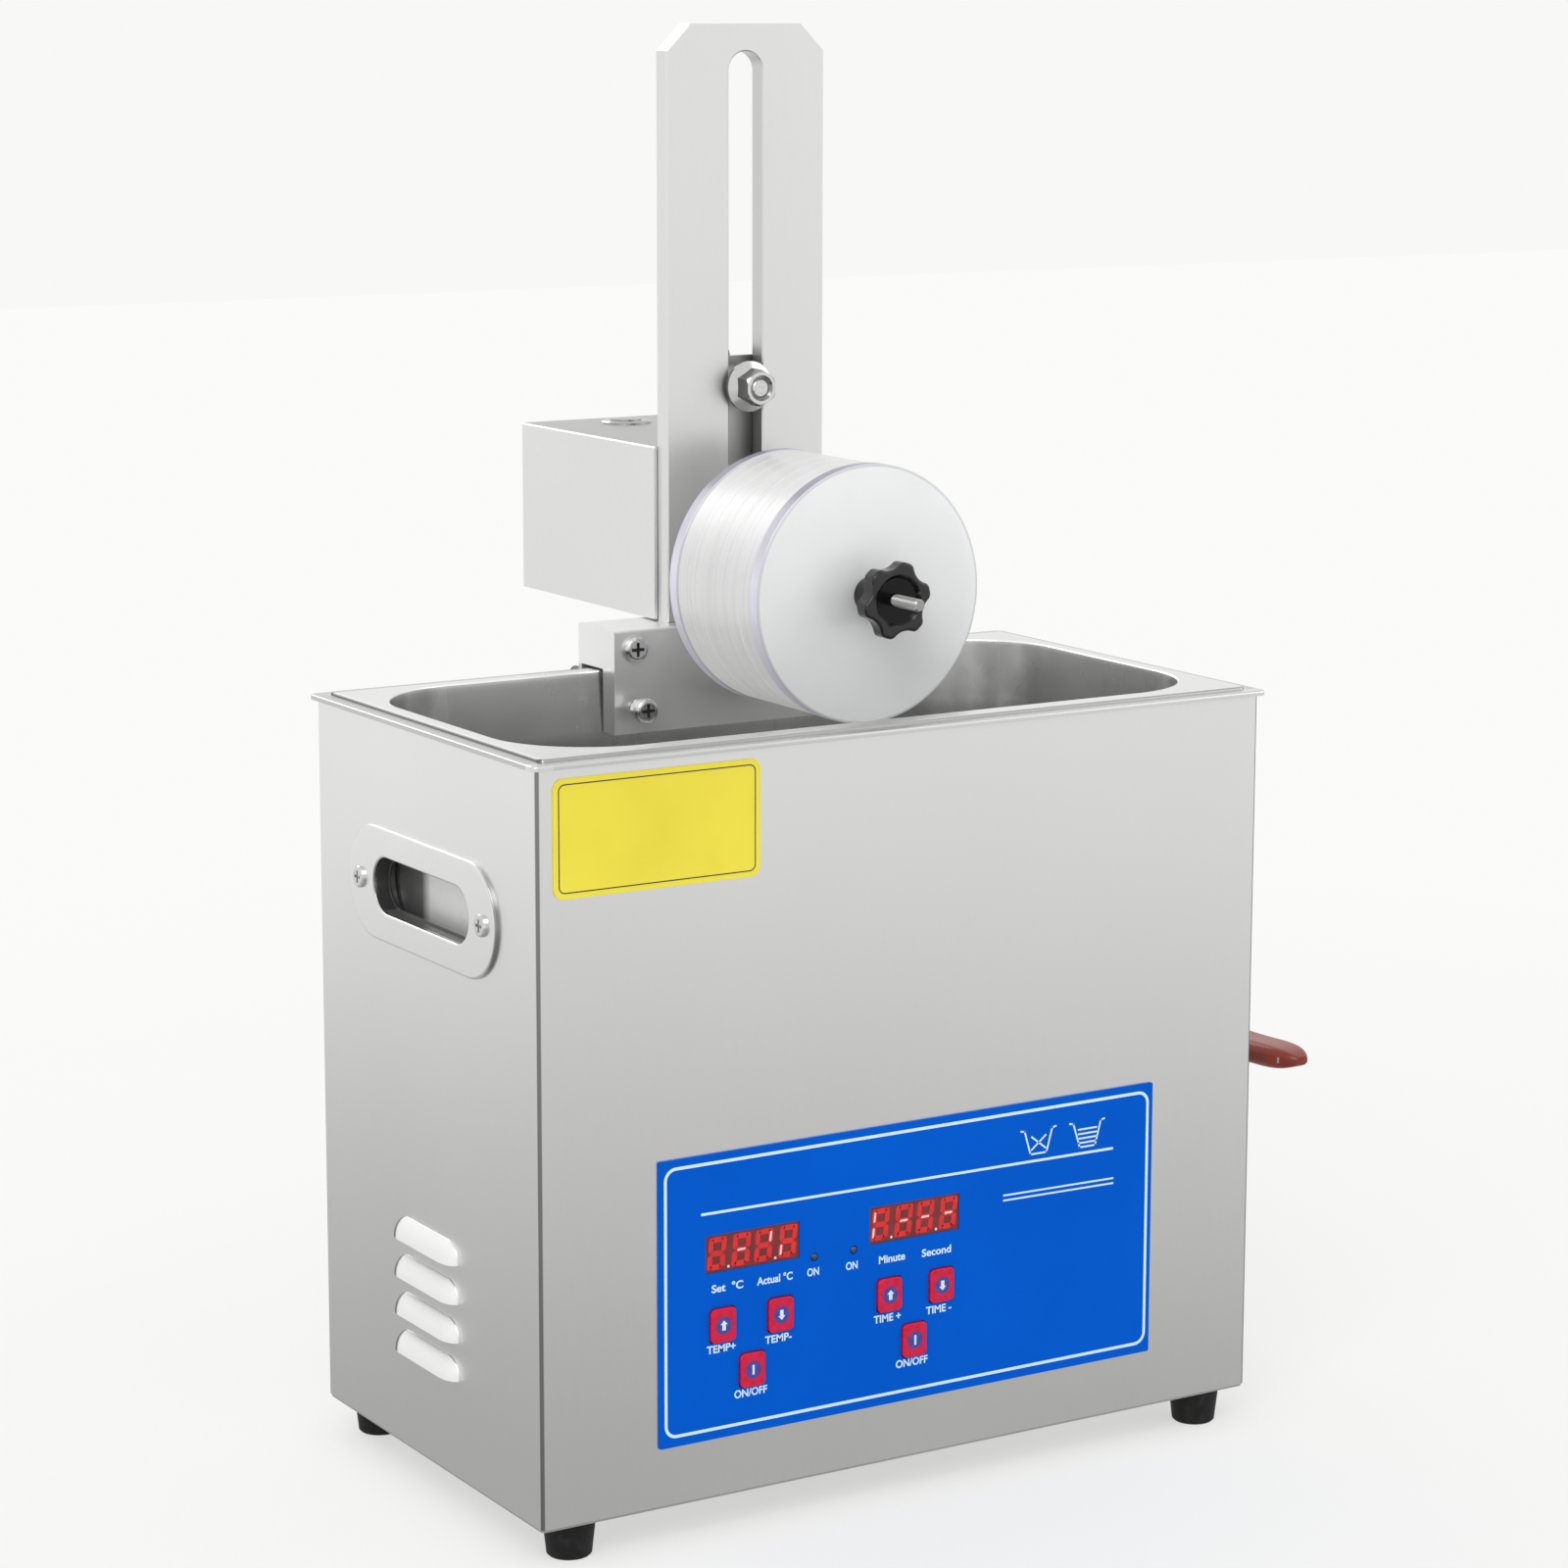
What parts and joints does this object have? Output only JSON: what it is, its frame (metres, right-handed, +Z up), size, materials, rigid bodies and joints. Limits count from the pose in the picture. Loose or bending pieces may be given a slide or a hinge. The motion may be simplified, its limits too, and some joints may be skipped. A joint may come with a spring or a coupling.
{
  "type": "record cleaning machine",
  "caption": "Ultrasonic record cleaning machine: brushed steel tank on rubber feet, blue control panel, side drain, and a motor-driven record spindle on a slotted mast.",
  "frame": {"origin": "on the floor under the middle of the casing", "axes": "+X right along the front face, +Y from the front face to the back, +Z up"},
  "size_m": [0.3894, 0.2901, 0.5544],
  "materials": {
    "brushed_case": "vertically brushed stainless sheet",
    "tank_steel": "satin pressed stainless",
    "bright_steel": "polished stainless",
    "screw_steel": "nickel-plated screw steel",
    "foot_rubber": "black moulded rubber",
    "blue_overlay": "blue printed polycarbonate sheet",
    "yellow_label": "yellow plate with a black border",
    "display_dark": "dark red display face",
    "lamp_clear": "small dark lamp",
    "red_button": "red moulded cap",
    "circuit_green": "glass-fibre circuit board",
    "brass_post": "turned brass",
    "sink_aluminium": "extruded aluminium",
    "horn_aluminium": "turned aluminium",
    "piezo_ceramic": "fired ceramic ring",
    "heater_silicone": "silicone heating strip",
    "valve_nickel": "nickel-plated brass",
    "vinyl_red": "dipped vinyl sleeve",
    "black_plastic": "black moulded plastic",
    "knob_black": "glossy black phenolic",
    "block_aluminium": "machined aluminium",
    "mast_aluminium": "brushed and clear-anodised plate",
    "box_steel": "fine-brushed sheet",
    "motor_metal": "zinc-plated motor can",
    "clear_acrylic": "clear acrylic with cut edges",
    "white_spacer": "translucent white plastic"
  },
  "bodies": {
    "cleaner": {"base_plate": "brushed_case", "board_standoffs": "brass_post", "casing_shell": "brushed_case", "clamp_screws": "screw_steel", "control_board": "circuit_green", "control_overlay": "blue_overlay", "display_modules": "display_dark", "drain_pipe": "bright_steel", "drain_valve_body": "valve_nickel", "fixing_screws": "screw_steel", "foot_block": "block_aluminium", "generator_board": "circuit_green", "generator_heatsink": "sink_aluminium", "handle_pan_left": "bright_steel", "handle_pan_right": "bright_steel", "heater_pads": "heater_silicone", "indicator_lamps": "lamp_clear", "mains_inlet": "black_plastic", "mast": "mast_aluminium", "rubber_feet": "foot_rubber", "saddle_bracket": "box_steel", "saddle_pads": "foot_rubber", "tank": "tank_steel", "transducer_ceramics": "piezo_ceramic", "transducer_masses": "horn_aluminium", "yellow_plate": "yellow_label"},
    "valve_lever": {"drain_stem": "valve_nickel", "drain_lever": "bright_steel", "drain_grip": "vinyl_red"},
    "carriage": {"carriage_plate": "box_steel", "motor_box": "box_steel", "motor_box_cover": "box_steel", "gear_motor": "motor_metal", "power_button_body": "bright_steel", "power_jack": "black_plastic", "clamp_bolt": "screw_steel", "clamp_washer": "screw_steel", "clamp_nut": "screw_steel"},
    "spindle": {"spindle_hub": "block_aluminium", "spindle_rod": "bright_steel", "rear_disc": "clear_acrylic"},
    "temperature_up_button": {"temperature_up_button": "red_button"},
    "temperature_down_button": {"temperature_down_button": "red_button"},
    "heat_switch_button": {"heat_switch_button": "red_button"},
    "time_up_button": {"time_up_button": "red_button"},
    "time_down_button": {"time_down_button": "red_button"},
    "start_button": {"start_button": "red_button"},
    "mains_rocker": {"mains_rocker": "black_plastic"},
    "rear_clamp_left": {"rear_clamp_left": "black_plastic"},
    "rear_clamp_right": {"rear_clamp_right": "black_plastic"},
    "power_button": {"power_button": "bright_steel"},
    "rear_star_knob": {"rear_star_knob": "knob_black"},
    "front_disc": {"front_disc": "clear_acrylic"},
    "star_knob": {"star_knob": "knob_black"},
    "record_spacer_1": {"record_spacer_1": "white_spacer"},
    "record_spacer_2": {"record_spacer_2": "white_spacer"},
    "record_spacer_3": {"record_spacer_3": "white_spacer"},
    "record_spacer_4": {"record_spacer_4": "white_spacer"},
    "record_spacer_5": {"record_spacer_5": "white_spacer"},
    "record_spacer_6": {"record_spacer_6": "white_spacer"}
  },
  "joints": [
    {"name": "temperature_up_press", "type": "slide", "parent": "cleaner", "child": "temperature_up_button", "axis": [0, 1, 0], "range_m": [0, 0.0008], "stiffness_N_per_m": 1500},
    {"name": "temperature_down_press", "type": "slide", "parent": "cleaner", "child": "temperature_down_button", "axis": [0, 1, 0], "range_m": [0, 0.0008], "stiffness_N_per_m": 1500},
    {"name": "heat_switch_press", "type": "slide", "parent": "cleaner", "child": "heat_switch_button", "axis": [0, 1, 0], "range_m": [0, 0.0008], "stiffness_N_per_m": 1500},
    {"name": "time_up_press", "type": "slide", "parent": "cleaner", "child": "time_up_button", "axis": [0, 1, 0], "range_m": [0, 0.0008], "stiffness_N_per_m": 1500},
    {"name": "time_down_press", "type": "slide", "parent": "cleaner", "child": "time_down_button", "axis": [0, 1, 0], "range_m": [0, 0.0008], "stiffness_N_per_m": 1500},
    {"name": "start_press", "type": "slide", "parent": "cleaner", "child": "start_button", "axis": [0, 1, 0], "range_m": [0, 0.0008], "stiffness_N_per_m": 1500},
    {"name": "mains_rocker_tip", "type": "hinge", "parent": "cleaner", "child": "mains_rocker", "pos_m": [-0.092, 0.089, 0.0895], "axis": [-1, 0, 0], "range_deg": [0, 16]},
    {"name": "drain_lever_turn", "type": "hinge", "parent": "cleaner", "child": "valve_lever", "pos_m": [0.189, 0, 0.137], "axis": [0, 0, 1], "range_deg": [0, 90]},
    {"name": "rear_clamp_left_turn", "type": "hinge", "parent": "cleaner", "child": "rear_clamp_left", "pos_m": [-0.035, 0.1, 0.2862], "axis": [0, 1, 0], "continuous": true},
    {"name": "rear_clamp_right_turn", "type": "hinge", "parent": "cleaner", "child": "rear_clamp_right", "pos_m": [0.085, 0.1, 0.2862], "axis": [0, 1, 0], "continuous": true},
    {"name": "carriage_slide", "type": "slide", "parent": "cleaner", "child": "carriage", "axis": [0, 0, 1], "range_m": [0, 0.1255]},
    {"name": "power_press", "type": "slide", "parent": "carriage", "child": "power_button", "axis": [0, 0, -1], "range_m": [0, 0.0012], "stiffness_N_per_m": 1500, "springref_m": -0.001},
    {"name": "rear_star_turn", "type": "hinge", "parent": "carriage", "child": "rear_star_knob", "pos_m": [0.025, 0.095, 0.4103], "axis": [0, 1, 0], "continuous": true},
    {"name": "spindle_spin", "type": "hinge", "parent": "carriage", "child": "spindle", "pos_m": [0.025, 0, 0.3366], "axis": [0, 1, 0], "continuous": true},
    {"name": "front_disc_slide", "type": "slide", "parent": "spindle", "child": "front_disc", "axis": [0, -1, 0], "range_m": [0, 0.02]},
    {"name": "star_knob_turn", "type": "hinge", "parent": "front_disc", "child": "star_knob", "pos_m": [0.025, -0.03, 0.3366], "axis": [0, -1, 0], "range_deg": [0, 9002]},
    {"name": "record_spacer_1_slide", "type": "slide", "parent": "spindle", "child": "record_spacer_1", "axis": [0, -1, 0], "range_m": [0, 0.00287]},
    {"name": "record_spacer_2_slide", "type": "slide", "parent": "spindle", "child": "record_spacer_2", "axis": [0, -1, 0], "range_m": [0, 0.00572]},
    {"name": "record_spacer_3_slide", "type": "slide", "parent": "spindle", "child": "record_spacer_3", "axis": [0, -1, 0], "range_m": [0, 0.00858]},
    {"name": "record_spacer_4_slide", "type": "slide", "parent": "spindle", "child": "record_spacer_4", "axis": [0, -1, 0], "range_m": [0, 0.01144]},
    {"name": "record_spacer_5_slide", "type": "slide", "parent": "spindle", "child": "record_spacer_5", "axis": [0, -1, 0], "range_m": [0, 0.0143]},
    {"name": "record_spacer_6_slide", "type": "slide", "parent": "spindle", "child": "record_spacer_6", "axis": [0, -1, 0], "range_m": [0, 0.01715]}
  ],
  "couplings": [
    {"joint": "star_knob_turn", "follows": "front_disc_slide", "rad_per_m": 7854},
    {"joint": "record_spacer_1_slide", "follows": "front_disc_slide", "ratio": 0.14286},
    {"joint": "record_spacer_2_slide", "follows": "front_disc_slide", "ratio": 0.28571},
    {"joint": "record_spacer_3_slide", "follows": "front_disc_slide", "ratio": 0.42857},
    {"joint": "record_spacer_4_slide", "follows": "front_disc_slide", "ratio": 0.57143},
    {"joint": "record_spacer_5_slide", "follows": "front_disc_slide", "ratio": 0.71429},
    {"joint": "record_spacer_6_slide", "follows": "front_disc_slide", "ratio": 0.85714}
  ]
}
